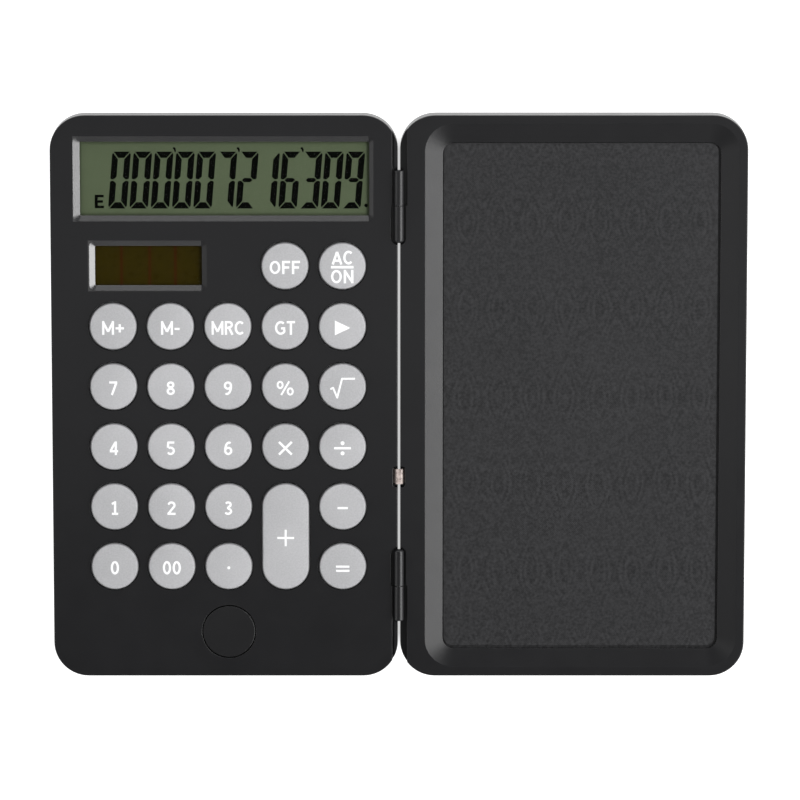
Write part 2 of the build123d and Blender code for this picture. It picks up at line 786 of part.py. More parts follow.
half_section = key_half_profile()


def make_key(name, x, y, span):
    """A hollow key with a flange that stops under the face and a post that stands on its dome.

    span is the distance between the centres of its two round ends, 0 on a round key.
    """
    with BuildPart() as key:
        for end in hinge_ends:
            end_y = y + end * span / 2
            revolve(half_section.moved(Location((x, end_y, 0))), axis=Axis((x, end_y, 0), (0, 0, 1)))
        if span:
            half = half_section.moved(Location((x, y + span / 2, 0)))
            extrude(half, amount=span, dir=(0, -1, 0))
            extrude(half.mirror(Plane.YZ.offset(x)), amount=span, dir=(0, -1, 0))
        with BuildSketch(Plane.XY.offset(key_bottom_z)):
            with Locations((x, y)):
                if span:
                    SlotCenterToCenter(span, 2 * (key_radius - key_shell), rotation=90)
                else:
                    Circle(key_radius - key_shell)
                Circle(key_post_radius, mode=Mode.SUBTRACT)
        extrude(amount=edge_z - key_shell - key_bottom_z, mode=Mode.SUBTRACT)
    finish(key, name)


for key_name, (key_x, key_y) in round_keys.items():
    make_key(key_name, key_x, key_y, 0)
make_key("key_plus", *plus_centre, key_pitch_y)

# ---------------------------------------------------------------- lid
panel_size = (pad_view[2] + 2 * panel_margin, pad_view[3] + 2 * panel_margin)
lid_cavity_x = -cavity_x
channel_top_z = face_z - 1.9
channel_inner = (pad_view[2] + 7.2, pad_view[3] + 7.2)
panel_bottom_z = pad_z - panel_thickness
backing_bottom_z = panel_bottom_z - backing_thickness

with BuildPart() as lid_frame:
    with BuildSketch(Plane.XY.offset(parting_z)):
        with Locations((lid_x, 0)):
            RectangleRounded(half_width, half_length, corner_radius)
    extrude(amount=face_z - parting_z)
    fillet(lid_frame.faces().sort_by(Axis.Z)[-1].edges(), face_edge_round)
    with BuildSketch(Plane.XY.offset(parting_z)):
        with Locations((lid_cavity_x, 0)):
            RectangleRounded(cavity_width, cavity_length, cavity_corner)
    extrude(amount=panel_bottom_z - parting_z, mode=Mode.SUBTRACT)
    with BuildSketch(Plane.XY.offset(panel_bottom_z)):
        with Locations((lid_cavity_x, 0)):
            RectangleRounded(cavity_width, cavity_length, cavity_corner)
        with Locations(pad_view[:2]):
            RectangleRounded(*channel_inner, 4.0, mode=Mode.SUBTRACT)
    extrude(amount=channel_top_z - panel_bottom_z, mode=Mode.SUBTRACT)
    with BuildSketch(Plane.XY.offset(panel_bottom_z)):
        with Locations(pad_view[:2]):
            RectangleRounded(panel_size[0] + 2 * panel_clearance, panel_size[1] + 2 * panel_clearance, 2.0)
    extrude(amount=panel_thickness, mode=Mode.SUBTRACT)
    with BuildSketch(Plane.XY.offset(pad_z)):
        with Locations(pad_view[:2]):
            RectangleRounded(*pad_view[2:], pad_view_corner)
    extrude(amount=pad_lip, mode=Mode.SUBTRACT)
    with BuildSketch(Plane.XY.offset(pad_z + pad_lip)):
        with Locations(pad_view[:2]):
            RectangleRounded(*pad_view[2:], pad_view_corner)
    with BuildSketch(Plane.XY.offset(face_z)):
        with Locations(pad_recess[:2]):
            RectangleRounded(*pad_recess[2:], pad_recess_corner)
    loft(mode=Mode.SUBTRACT)
    add(lid_rebate, mode=Mode.SUBTRACT)
    add(lid_knuckles)
    with BuildSketch(Plane.XY.offset(notch_floor_z)):
        with Locations((0, ribbon_y)):
            RectangleRounded(*notch_size, notch_corner)
    extrude(amount=face_z, mode=Mode.SUBTRACT)
    with BuildSketch(Plane.XY.offset(notch_floor_z)):
        with Locations(((hinge_wall + hinge_gap) / 2, ribbon_y)):
            Rectangle(hinge_wall + 0.5, ribbon_width + 0.2)
    extrude(amount=ribbon_slot_height, mode=Mode.SUBTRACT)
finish(lid_frame, "lid_frame")

with BuildPart() as lid_back_cover:
    with BuildSketch():
        with Locations((lid_x, 0)):
            RectangleRounded(half_width, half_length, corner_radius)
    extrude(amount=parting_z)
    fillet(lid_back_cover.faces().sort_by(Axis.Z)[0].edges(), back_edge_round)
    with BuildSketch(Plane.XY.offset(parting_z)):
        with Locations((lid_cavity_x, 0)):
            RectangleRounded(
                cavity_width - 2 * lip_clearance, cavity_length - 2 * lip_clearance, cavity_corner - lip_clearance
            )
    extrude(amount=lip_height)
    with BuildSketch(Plane.XY.offset(skin)):
        with Locations((lid_cavity_x, 0)):
            RectangleRounded(cavity_width - 2 * lip_inset, cavity_length - 2 * lip_inset, cavity_corner - lip_inset)
    extrude(amount=parting_z + lip_height - skin, mode=Mode.SUBTRACT)
    with BuildSketch(Plane.XY.offset(skin)):
        with Locations(pad_view[:2]):
            with GridLocations(24.0, 0, 4, 1):
                Rectangle(1.2, pad_view[3] - 10.0)
            with GridLocations(0, 45.0, 1, 4):
                Rectangle(72.0, 1.2)
    extrude(amount=backing_bottom_z - skin)
finish(lid_back_cover, "lid_back_cover")

with BuildPart() as writing_panel:
    with BuildSketch(Plane.XY.offset(panel_bottom_z)):
        with Locations(pad_view[:2]):
            RectangleRounded(*panel_size, 1.9)
    extrude(amount=panel_thickness)
    groove_reach = 2 * pad_groove_reach
    with BuildSketch(Plane.XY.offset(pad_z - pad_groove_depth)):
        with Locations(pad_view[:2]):
            RectangleRounded(pad_view[2] + groove_reach, pad_view[3] + groove_reach, pad_view_corner)
        with Locations(pad_film[:2]):
            RectangleRounded(*pad_film[2:], pad_film_corner, mode=Mode.SUBTRACT)
    extrude(amount=pad_groove_depth, mode=Mode.SUBTRACT)
finish(writing_panel, "writing_panel")

tail_x = (8.2, 15.5)
tail_width = 6.0
tail_thickness = 0.2
with BuildPart() as panel_backing:
    with BuildSketch(Plane.XY.offset(backing_bottom_z)):
        with Locations(pad_view[:2]):
            RectangleRounded(*panel_size, 1.9)
        with Locations((tail_x[1] / 2, ribbon_y)):
            Rectangle(tail_x[1] + 1.0, tail_width + 1.0, mode=Mode.SUBTRACT)
    extrude(amount=backing_thickness)
finish(panel_backing, "panel_backing")

with BuildPart() as panel_tail:
    with BuildSketch(Plane.XY.offset(panel_bottom_z - tail_thickness)):
        with Locations(((tail_x[0] + tail_x[1]) / 2, ribbon_y)):
            Rectangle(tail_x[1] - tail_x[0], tail_width)
    extrude(amount=tail_thickness)
finish(panel_tail, "panel_tail")

# ---------------------------------------------------------------- ribbon cable across the hinge
ribbon_x = (-11.4, 8.8)
with BuildPart() as ribbon_cable:
    with BuildSketch(Plane.XY.offset(ribbon_z)):
        with Locations(((ribbon_x[0] + ribbon_x[1]) / 2, ribbon_y)):
            Rectangle(ribbon_x[1] - ribbon_x[0], ribbon_width)
    extrude(amount=ribbon_thickness)
    base_leg = (ribbon_x[0] + ribbon_thickness / 2, board_top_z)
    lid_leg = (ribbon_x[1] - ribbon_thickness / 2, panel_bottom_z)
    for leg_x, leg_z in (base_leg, lid_leg):
        with BuildSketch(Plane.XY.offset(leg_z)):
            with Locations((leg_x, ribbon_y)):
                Rectangle(ribbon_thickness, ribbon_width)
        extrude(amount=ribbon_z - leg_z)
finish(ribbon_cable, "ribbon_cable")
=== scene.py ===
"""Looks of the folding calculator: materials, printed legends, display image, ribbon cable, studio.

Everything is in metres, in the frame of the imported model: calculator half on -X, lid on +X,
display end on +Y, and the surface that the object rests on at z = 0.
"""

import json
import math

import bmesh
import bpy
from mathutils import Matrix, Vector
from mathutils.geometry import delaunay_2d_cdt


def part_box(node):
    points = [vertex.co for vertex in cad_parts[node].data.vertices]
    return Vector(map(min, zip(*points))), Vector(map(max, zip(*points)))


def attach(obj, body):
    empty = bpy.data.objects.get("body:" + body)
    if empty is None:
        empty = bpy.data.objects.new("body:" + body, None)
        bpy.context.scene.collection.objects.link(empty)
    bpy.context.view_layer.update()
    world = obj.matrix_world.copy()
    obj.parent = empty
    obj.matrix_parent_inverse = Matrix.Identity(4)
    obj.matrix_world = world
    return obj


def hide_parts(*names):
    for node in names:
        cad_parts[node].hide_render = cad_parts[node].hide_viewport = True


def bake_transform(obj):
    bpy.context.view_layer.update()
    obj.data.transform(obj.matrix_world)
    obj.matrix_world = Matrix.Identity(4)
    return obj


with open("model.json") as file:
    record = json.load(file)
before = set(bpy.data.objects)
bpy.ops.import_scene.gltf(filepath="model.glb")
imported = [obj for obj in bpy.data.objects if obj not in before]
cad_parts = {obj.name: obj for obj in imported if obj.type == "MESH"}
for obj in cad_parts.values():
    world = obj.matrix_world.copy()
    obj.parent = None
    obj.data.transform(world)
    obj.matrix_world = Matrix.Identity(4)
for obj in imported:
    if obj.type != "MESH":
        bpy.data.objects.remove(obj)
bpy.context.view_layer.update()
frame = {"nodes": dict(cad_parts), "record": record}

MM = 0.001
NODES = frame["nodes"]
SCENE = bpy.context.scene


# ---------------------------------------------------------------- node helpers
def new_material(name):
    """A material with an empty tree, its Principled shader and its output."""
    material = bpy.data.materials.new(name)
    material.use_nodes = True
    tree = material.node_tree
    tree.nodes.clear()
    output = tree.nodes.new("ShaderNodeOutputMaterial")
    shader = tree.nodes.new("ShaderNodeBsdfPrincipled")
    tree.links.new(shader.outputs["BSDF"], output.inputs["Surface"])
    return material, tree, shader


def node(tree, kind, inputs=None, **settings):
    """Add a node, set its properties, and link or set its inputs."""
    made = tree.nodes.new("ShaderNode" + kind)
    for key, value in settings.items():
        setattr(made, key, value)
    for key, value in (inputs or {}).items():
        if isinstance(value, bpy.types.NodeSocket):
            tree.links.new(value, made.inputs[key])
        else:
            made.inputs[key].default_value = value
    return made


def place(tree):
    """The surface point in metres, in the piece's own frame."""
    return node(tree, "TexCoord").outputs["Object"]


def noise(tree, size, detail=3.0, roughness=0.55):
    """Noise whose blobs are about size metres across, from 0 to 1."""
    inputs = {"Vector": place(tree), "Scale": 1.0 / size, "Detail": detail, "Roughness": roughness}
    return node(tree, "TexNoise", inputs).outputs["Fac"]


def math_node(tree, operation, first, second=0.0, third=0.0):
    return node(tree, "Math", {0: first, 1: second, 2: third}, operation=operation).outputs[0]


def remap(tree, value, low, high, to_low, to_high):
    inputs = {"Value": value, "From Min": low, "From Max": high, "To Min": to_low, "To Max": to_high}
    return node(tree, "MapRange", inputs).outputs["Result"]


def mix_colour(tree, factor, first, second):
    made = node(tree, "Mix", {"Factor": factor}, data_type="RGBA")
    for socket, value in ((made.inputs[6], first), (made.inputs[7], second)):
        if isinstance(value, bpy.types.NodeSocket):
            tree.links.new(value, socket)
        else:
            socket.default_value = (*value, 1.0)
    return made.outputs[2]


def rounded_normal(tree, radius):
    """The normal of the surface with its sharp edges eased over radius metres."""
    return node(tree, "Bevel", {"Radius": radius}, samples=6).outputs["Normal"]


def edge_mask(tree, eased):
    """1 on edges, where the eased normal leaves the true one, and 0 on flats."""
    true_normal = node(tree, "NewGeometry").outputs["Normal"]
    along = node(tree, "VectorMath", {0: eased, 1: true_normal}, operation="DOT_PRODUCT").outputs["Value"]
    return remap(tree, along, 0.985, 0.86, 0.0, 1.0)


def bump(tree, height, distance, strength, normal=None):
    inputs = {"Height": height, "Distance": distance, "Strength": strength}
    if normal is not None:
        inputs["Normal"] = normal
    return node(tree, "Bump", inputs).outputs["Normal"]


def link(tree, socket, shader, name):
    tree.links.new(socket, shader.inputs[name])


# ---------------------------------------------------------------- materials
def in_boxes(tree, boxes):
    """1 inside any of the upright boxes given as (low, high) corners, and above them, 0 elsewhere."""
    axes = node(tree, "SeparateXYZ", {0: place(tree)}).outputs
    total = None
    for low, high in boxes:
        part = math_node(tree, "GREATER_THAN", axes[2], low[2])
        for axis in (0, 1):
            middle, half = (low[axis] + high[axis]) / 2, (high[axis] - low[axis]) / 2
            offset = math_node(tree, "ABSOLUTE", math_node(tree, "SUBTRACT", axes[axis], middle))
            near = math_node(tree, "LESS_THAN", offset, half)
            part = math_node(tree, "MULTIPLY", part, near)
        total = part if total is None else math_node(tree, "MAXIMUM", total, part)
    return total


def moulded_plastic(
    name, colour, worn, roughness, grain=0.30 * MM, grain_depth=0.012 * MM, ease=0.22 * MM,
    polished=(), painted_shade_colour=None,
):
    """Moulded plastic: spark-eroded grain, faint flow mottling, edges rubbed lighter and smoother.

    polished lists boxes, as (low, high) corners, where the mould was polished instead.
    The last argument is the colour of painted shade on walls and rounded edges, which also lose gloss there.
    """
    material, tree, shader = new_material(name)
    shader.inputs["IOR"].default_value = 1.48
    eased = rounded_normal(tree, ease)
    patchy = remap(tree, noise(tree, 6 * MM), 0.35, 0.7, 0.25, 1.0)
    rub = math_node(tree, "MULTIPLY", edge_mask(tree, eased), patchy)
    mottle = remap(tree, noise(tree, 28 * MM, 4.0), 0.3, 0.7, 0.0, 1.0)
    speck = remap(tree, noise(tree, 0.45 * MM, 1.0), 0.35, 0.65, 0.0, 1.0)
    base = mix_colour(tree, mottle, [c * 0.90 for c in colour], [c * 1.08 for c in colour])
    base = mix_colour(tree, math_node(tree, "MULTIPLY", speck, 0.22), base, [c * 1.5 for c in colour])
    base = mix_colour(tree, math_node(tree, "MULTIPLY", rub, 0.55), base, worn)
    if painted_shade_colour:
        # painted shade: steep walls and rounded edges are darkened towards that colour and made less glossy
        rise = node(tree, "SeparateXYZ", {0: node(tree, "NewGeometry").outputs["Normal"]}).outputs[2]
        painted_wall_shade = remap(tree, rise, 0.97, 0.70, 0.0, 0.9)
        base = mix_colour(tree, painted_wall_shade, base, painted_shade_colour)
        level = math_node(tree, "MULTIPLY_ADD", painted_wall_shade, -0.5, 0.5)
        link(tree, level, shader, "Specular IOR Level")
    link(tree, base, shader, "Base Color")
    uneven = remap(tree, noise(tree, 9 * MM, 5.0), 0.3, 0.7, roughness - 0.02, roughness + 0.02)
    rough = math_node(tree, "SUBTRACT", uneven, math_node(tree, "MULTIPLY", rub, 0.10))
    if polished:
        shine = in_boxes(tree, polished)
        rough = math_node(tree, "SUBTRACT", rough, math_node(tree, "MULTIPLY", shine, 0.10))
        link(tree, math_node(tree, "MULTIPLY_ADD", shine, 1.0, 0.5), shader, "Specular IOR Level")
    link(tree, rough, shader, "Roughness")
    link(tree, bump(tree, noise(tree, grain, 2.0), grain_depth, 0.55, eased), shader, "Normal")
    return material


def window_walls():
    """Boxes that take in the sloped walls round both windows, except the right ones."""
    reach, right_wall = Vector((0.65 * MM, 0.25 * MM, 0.60 * MM)), Vector((1.6 * MM, -0.25 * MM, 0.0))
    boxes = [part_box(name) for name in ("display_lens", "solar_lens")]
    return [(low - reach, high - right_wall) for low, high in boxes]


def metal(name, colour, roughness, brush_direction=(1.0, 1.0, 1.0), brush=0.12 * MM):
    """Plated or drawn steel with fine brushing and a slightly cloudy finish."""
    material, tree, shader = new_material(name)
    shader.inputs["Metallic"].default_value = 1.0
    stretched = node(tree, "Mapping", {"Vector": place(tree), "Scale": brush_direction}).outputs["Vector"]
    lines = node(tree, "TexNoise", {"Vector": stretched, "Scale": 1.0 / brush, "Detail": 2.0}).outputs["Fac"]
    cloud = remap(tree, noise(tree, 3 * MM, 4.0), 0.3, 0.7, 0.0, 1.0)
    link(tree, mix_colour(tree, cloud, [c * 0.86 for c in colour], colour), shader, "Base Color")
    link(tree, remap(tree, lines, 0.3, 0.7, roughness - 0.06, roughness + 0.10), shader, "Roughness")
    link(tree, bump(tree, lines, 0.004 * MM, 0.5, rounded_normal(tree, 0.08 * MM)), shader, "Normal")
    return material


def clear_window(name, tint, gloss_roughness):
    """Thin clear plastic: light passes straight through and the surface only adds its gloss."""
    material, tree, shader = new_material(name)
    tree.nodes.remove(shader)
    output = tree.nodes["Material Output"]
    through = node(tree, "BsdfTransparent", {"Color": (*tint, 1.0)}).outputs["BSDF"]
    haze = remap(tree, noise(tree, 4 * MM, 4.0), 0.3, 0.7, gloss_roughness, gloss_roughness + 0.05)
    gloss = node(tree, "BsdfGlossy", {"Roughness": haze}).outputs["BSDF"]
    grazing = math_node(tree, "POWER", node(tree, "LayerWeight", {"Blend": 0.5}).outputs["Facing"], 5.0)
    share = math_node(tree, "MULTIPLY_ADD", grazing, 0.45, 0.001)
    mixed = node(tree, "MixShader", {0: share, 1: through, 2: gloss}).outputs["Shader"]
    tree.links.new(mixed, output.inputs["Surface"])
    return material


def display_glass(name):
    """Reflective liquid crystal: grey-green, grainy reflector, with painted shade towards its rim for the
    shadow of the window walls.
    """
    material, tree, shader = new_material(name)
    low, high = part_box("display_lens")
    centre, half = (low + high) / 2, (high - low) / 2
    axes = node(tree, "SeparateXYZ", {0: place(tree)}).outputs
    field = (0.085, 0.104, 0.0615)
    # painted shade: the field darkens near the edges of the lens, standing in for the window walls' shadow
    edges = []
    for axis in (0, 1):
        offset = math_node(tree, "ABSOLUTE", math_node(tree, "SUBTRACT", axes[axis], centre[axis]))
        edges.append(remap(tree, offset, half[axis] - 2.3 * MM, half[axis] - 1.6 * MM, 0.0, 1.0))
    painted_rim_shade = math_node(tree, "MAXIMUM", *edges)
    grain = remap(tree, noise(tree, 0.35 * MM, 2.0), 0.3, 0.7, 0.0, 1.0)
    clouds = remap(tree, noise(tree, 14 * MM, 3.0), 0.3, 0.7, 0.0, 1.0)
    base = mix_colour(tree, grain, [c * 0.90 for c in field], [c * 1.10 for c in field])
    base = mix_colour(tree, math_node(tree, "MULTIPLY", clouds, 0.25), base, [c * 1.22 for c in field])
    base = mix_colour(tree, math_node(tree, "MULTIPLY", painted_rim_shade, 0.50), base, [c * 0.45 for c in field])
    link(tree, base, shader, "Base Color")
    link(tree, remap(tree, grain, 0.0, 1.0, 0.42, 0.55), shader, "Roughness")
    shader.inputs["Specular IOR Level"].default_value = 0.10
    link(tree, bump(tree, grain, 0.004 * MM, 0.4), shader, "Normal")
    return material


SOLAR_SEAMS = (0.261, 0.509, 0.735)


def solar_film(name):
    """Amorphous silicon behind glass: dark olive brown in four cells with fine reddish seams."""
    material, tree, shader = new_material(name)
    low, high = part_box("solar_cell")
    width = high.x - low.x
    across = node(tree, "SeparateXYZ", {0: place(tree)}).outputs[0]
    seam_half_width = 0.33 * MM
    seam = None
    for share in SOLAR_SEAMS:
        offset = math_node(tree, "ABSOLUTE", math_node(tree, "SUBTRACT", across, low.x + share * width))
        line = remap(tree, offset, seam_half_width * 0.5, seam_half_width * 1.6, 1.0, 0.0)
        seam = line if seam is None else math_node(tree, "MAXIMUM", seam, line)
    mottle = remap(tree, noise(tree, 1.6 * MM, 4.0), 0.3, 0.7, 0.0, 1.0)
    base = mix_colour(tree, mottle, (0.0215, 0.0145, 0.0002), (0.0270, 0.0185, 0.0004))
    base = mix_colour(tree, math_node(tree, "MULTIPLY", seam, 0.85), base, (0.040, 0.0060, 0.0012))
    link(tree, base, shader, "Base Color")
    link(tree, remap(tree, mottle, 0.0, 1.0, 0.26, 0.34), shader, "Roughness")
    shader.inputs["Specular IOR Level"].default_value = 0.06
    link(tree, bump(tree, seam, 0.01 * MM, 0.4), shader, "Normal")
    return material


def writing_film(name):
    """Writing film: a dark satin sheet with a fine knitted mesh that drifts in and out of step."""
    material, tree, shader = new_material(name)
    axes = node(tree, "SeparateXYZ", {0: place(tree)}).outputs
    mesh_pitch = 0.60 * MM
    ring_width, ring_length = 9.6 * MM, 25.5 * MM
    ring_count = 7.0

    def wave(coordinate, period):
        turns = math_node(tree, "MULTIPLY", coordinate, 2 * math.pi / period)
        return math_node(tree, "COSINE", turns)

    threads = math_node(tree, "MULTIPLY", wave(axes[0], mesh_pitch), wave(axes[1], mesh_pitch))
    lattice = math_node(tree, "ADD", wave(axes[0], ring_width), wave(axes[1], ring_length))
    wander = remap(tree, noise(tree, 16 * MM, 2.0), 0.0, 1.0, 0.0, 9.0)
    drift = math_node(tree, "SINE", math_node(tree, "MULTIPLY_ADD", lattice, ring_count, wander))
    rows = remap(tree, wave(axes[1], ring_length), -1.0, 1.0, 0.25, 1.0)
    rings = math_node(tree, "MULTIPLY", drift, rows)
    speck = remap(tree, noise(tree, 0.75 * MM, 2.0, 0.7), 0.36, 0.64, -1.0, 1.0)
    threads, rings = math_node(tree, "MULTIPLY", threads, 0.35), math_node(tree, "MULTIPLY", rings, 0.30)
    weave = math_node(tree, "ADD", threads, rings)
    weave = math_node(tree, "ADD", weave, math_node(tree, "MULTIPLY", speck, 0.55))
    shade = remap(tree, weave, -1.0, 1.0, 0.0, 1.0)
    clouds = remap(tree, noise(tree, 40 * MM, 3.0), 0.3, 0.7, 0.0, 1.0)
    dark, light = (0.0040, 0.0040, 0.0045), (0.0295, 0.0295, 0.0315)
    base = mix_colour(tree, shade, dark, light)
    link(tree, mix_colour(tree, math_node(tree, "MULTIPLY", clouds, 0.12), base, light), shader, "Base Color")
    link(tree, remap(tree, shade, 0.0, 1.0, 0.36, 0.44), shader, "Roughness")
    link(tree, bump(tree, weave, 0.012 * MM, 0.5), shader, "Normal")
    return material


def ink(name, colour, roughness, gloss=0.5):
    """Printed ink: nearly even, with a faintly uneven film."""
    material, tree, shader = new_material(name)
    shader.inputs["Specular IOR Level"].default_value = gloss
    uneven = remap(tree, noise(tree, 0.5 * MM, 3.0), 0.3, 0.7, 0.0, 1.0)
    link(tree, mix_colour(tree, uneven, [c * 0.95 for c in colour], colour), shader, "Base Color")
    link(tree, remap(tree, uneven, 0.0, 1.0, roughness, roughness + 0.08), shader, "Roughness")
    link(tree, bump(tree, uneven, 0.004 * MM, 0.4), shader, "Normal")
    return material


def ribbon_film(name):
    """Copper tracks under cloudy film: pinkish grey, blotched where the film lifts off the copper."""
    material, tree, shader = new_material(name)
    blotch = remap(tree, noise(tree, 0.9 * MM, 3.0), 0.42, 0.66, 0.0, 1.0)
    base = mix_colour(tree, blotch, (0.52, 0.44, 0.41), (0.26, 0.21, 0.19))
    link(tree, base, shader, "Base Color")
    link(tree, remap(tree, blotch, 0.0, 1.0, 0.35, 0.50), shader, "Roughness")
    link(tree, bump(tree, blotch, 0.01 * MM, 0.5), shader, "Normal")
    return material


def striped_rubber(name, first, second, pitch):
    """Connector strip: thin conducting layers between insulating ones, across X."""
    material, tree, shader = new_material(name)
    across = node(tree, "SeparateXYZ", {0: place(tree)}).outputs[0]
    layers = math_node(tree, "SINE", math_node(tree, "MULTIPLY", across, 2 * math.pi / pitch))
    share = remap(tree, layers, -0.3, 0.3, 0.0, 1.0)
    link(tree, mix_colour(tree, share, first, second), shader, "Base Color")
    link(tree, remap(tree, noise(tree, 0.8 * MM), 0.3, 0.7, 0.55, 0.7), shader, "Roughness")
    return material


def circuit_board(name):
    """Solder mask over copper: green, with lighter tracks showing through."""
    material, tree, shader = new_material(name)
    cells = node(
        tree, "TexBrick", {"Vector": place(tree), "Scale": 1.0 / (3.2 * MM), "Mortar Size": 0.09}, offset=0.37
    ).outputs["Fac"]
    mottle = remap(tree, noise(tree, 5 * MM, 4.0), 0.3, 0.7, 0.0, 1.0)
    base = mix_colour(tree, mottle, (0.012, 0.085, 0.030), (0.018, 0.115, 0.040))
    link(tree, mix_colour(tree, cells, base, (0.045, 0.20, 0.07)), shader, "Base Color")
    link(tree, remap(tree, mottle, 0.0, 1.0, 0.28, 0.38), shader, "Roughness")
    link(tree, bump(tree, cells, 0.02 * MM, 0.5), shader, "Normal")
    return material


BODY_BLACK = (0.0064, 0.0064, 0.0073)
LID_BLACK = (0.0064, 0.0064, 0.0073)
RUBBED_BLACK = (0.035, 0.035, 0.037)

MATERIALS = {
    "body_plastic": moulded_plastic("body_plastic", BODY_BLACK, RUBBED_BLACK, 0.34, polished=window_walls()),
    "lid_plastic": moulded_plastic("lid_plastic", LID_BLACK, RUBBED_BLACK, 0.34),
    # key_plastic: its last colour is painted shade on the keys' walls and rounded edges
    "key_plastic": moulded_plastic(
        "key_plastic", (0.400, 0.400, 0.410), (0.20, 0.20, 0.205), 0.55, 0.5 * MM, 0.004 * MM, 0.15 * MM,
        painted_shade_colour=(0.120, 0.120, 0.124)
    ),
    "button_plastic": moulded_plastic("button_plastic", (0.0052, 0.0052, 0.0059), RUBBED_BLACK, 0.38),
    "switch_plastic": moulded_plastic("switch_plastic", (0.02, 0.02, 0.021), RUBBED_BLACK, 0.40),
    "backing_plastic": moulded_plastic("backing_plastic", (0.05, 0.05, 0.055), (0.1, 0.1, 0.105), 0.55),
    "chip_resin": moulded_plastic("chip_resin", (0.010, 0.010, 0.010), (0.03, 0.03, 0.03), 0.20),
    "lead_sleeve": moulded_plastic("lead_sleeve", (0.40, 0.03, 0.02), (0.5, 0.08, 0.06), 0.40),
    "mat_silicone": moulded_plastic("mat_silicone", (0.66, 0.66, 0.64), (0.75, 0.75, 0.73), 0.55),
    "foot_rubber": moulded_plastic(
        "foot_rubber", (0.022, 0.022, 0.022), (0.05, 0.05, 0.05), 0.75, 0.6 * MM, 0.03 * MM
    ),
    "screw_steel": metal("screw_steel", (0.50, 0.50, 0.51), 0.30),
    "pin_steel": metal("pin_steel", (0.56, 0.56, 0.57), 0.28, (1.0, 0.1, 1.0)),
    "cell_steel": metal("cell_steel", (0.66, 0.66, 0.66), 0.24),
    "contact_nickel": metal("contact_nickel", (0.66, 0.62, 0.54), 0.28),
    "clear_lens": clear_window("clear_lens", (0.97, 0.98, 0.97), 0.04),
    "lcd_glass": display_glass("lcd_glass"),
    "solar_film": solar_film("solar_film"),
    "writing_film": writing_film("writing_film"),
    "legend_ink": ink("legend_ink", (0.93, 0.93, 0.94), 0.45),
    "display_ink": ink("display_ink", (0.0015, 0.0017, 0.0013), 0.6, 0.02),
    "connector_rubber": striped_rubber("connector_rubber", (0.42, 0.16, 0.18), (0.03, 0.02, 0.02), 0.3 * MM),
    "board_laminate": circuit_board("board_laminate"),
    "ribbon_film": ribbon_film("ribbon_film"),
}


def dress_cad_nodes():
    """Give every CAD node the material of its slot."""
    for part in frame["record"]["subparts"]:
        mesh = NODES[part["node"]].data
        mesh.materials.clear()
        mesh.materials.append(MATERIALS[part["material_slot"]])


# ---------------------------------------------------------------- flat figures: legends and display
def band(points, width):
    """Four-cornered patches along a line of points, each width wide, with overlapping joints."""
    patches = []
    for start, end in zip(points, points[1:]):
        start, end = Vector(start), Vector(end)
        along = (end - start).normalized() * width / 2
        side = Vector((-along.y, along.x))
        patches.append([start - side, end - side, end + side, start + side])
    for joint in points[1:-1]:
        patches.append(disc(joint, width / 2))
    return patches


def disc(centre, radius, sides=20):
    """One round patch."""
    turns = [2 * math.pi * n / sides for n in range(sides)]
    return [Vector(centre) + radius * Vector((math.cos(turn), math.sin(turn))) for turn in turns]


def arc(centre, radius_x, radius_y, start, end, steps=16):
    """Points of an ellipse's arc; angles in degrees from +X, counter-clockwise."""
    turns = [math.radians(start + (end - start) * n / steps) for n in range(steps + 1)]
    return [(centre[0] + radius_x * math.cos(t), centre[1] + radius_y * math.sin(t)) for t in turns]


def outline(width, height, stroke):
    """The middle line of an upright oval that fills width by height."""
    return arc((width / 2, height / 2), (width - stroke) / 2, (height - stroke) / 2, 90, 450, 32)


GLYPH_WIDTH = 0.60
GLYPH_WIDTHS = {"1": 0.42, "M": 0.86, "N": 0.72, "O": 0.80, "C": 0.66, "G": 0.74, "A": 0.72, "R": 0.62}


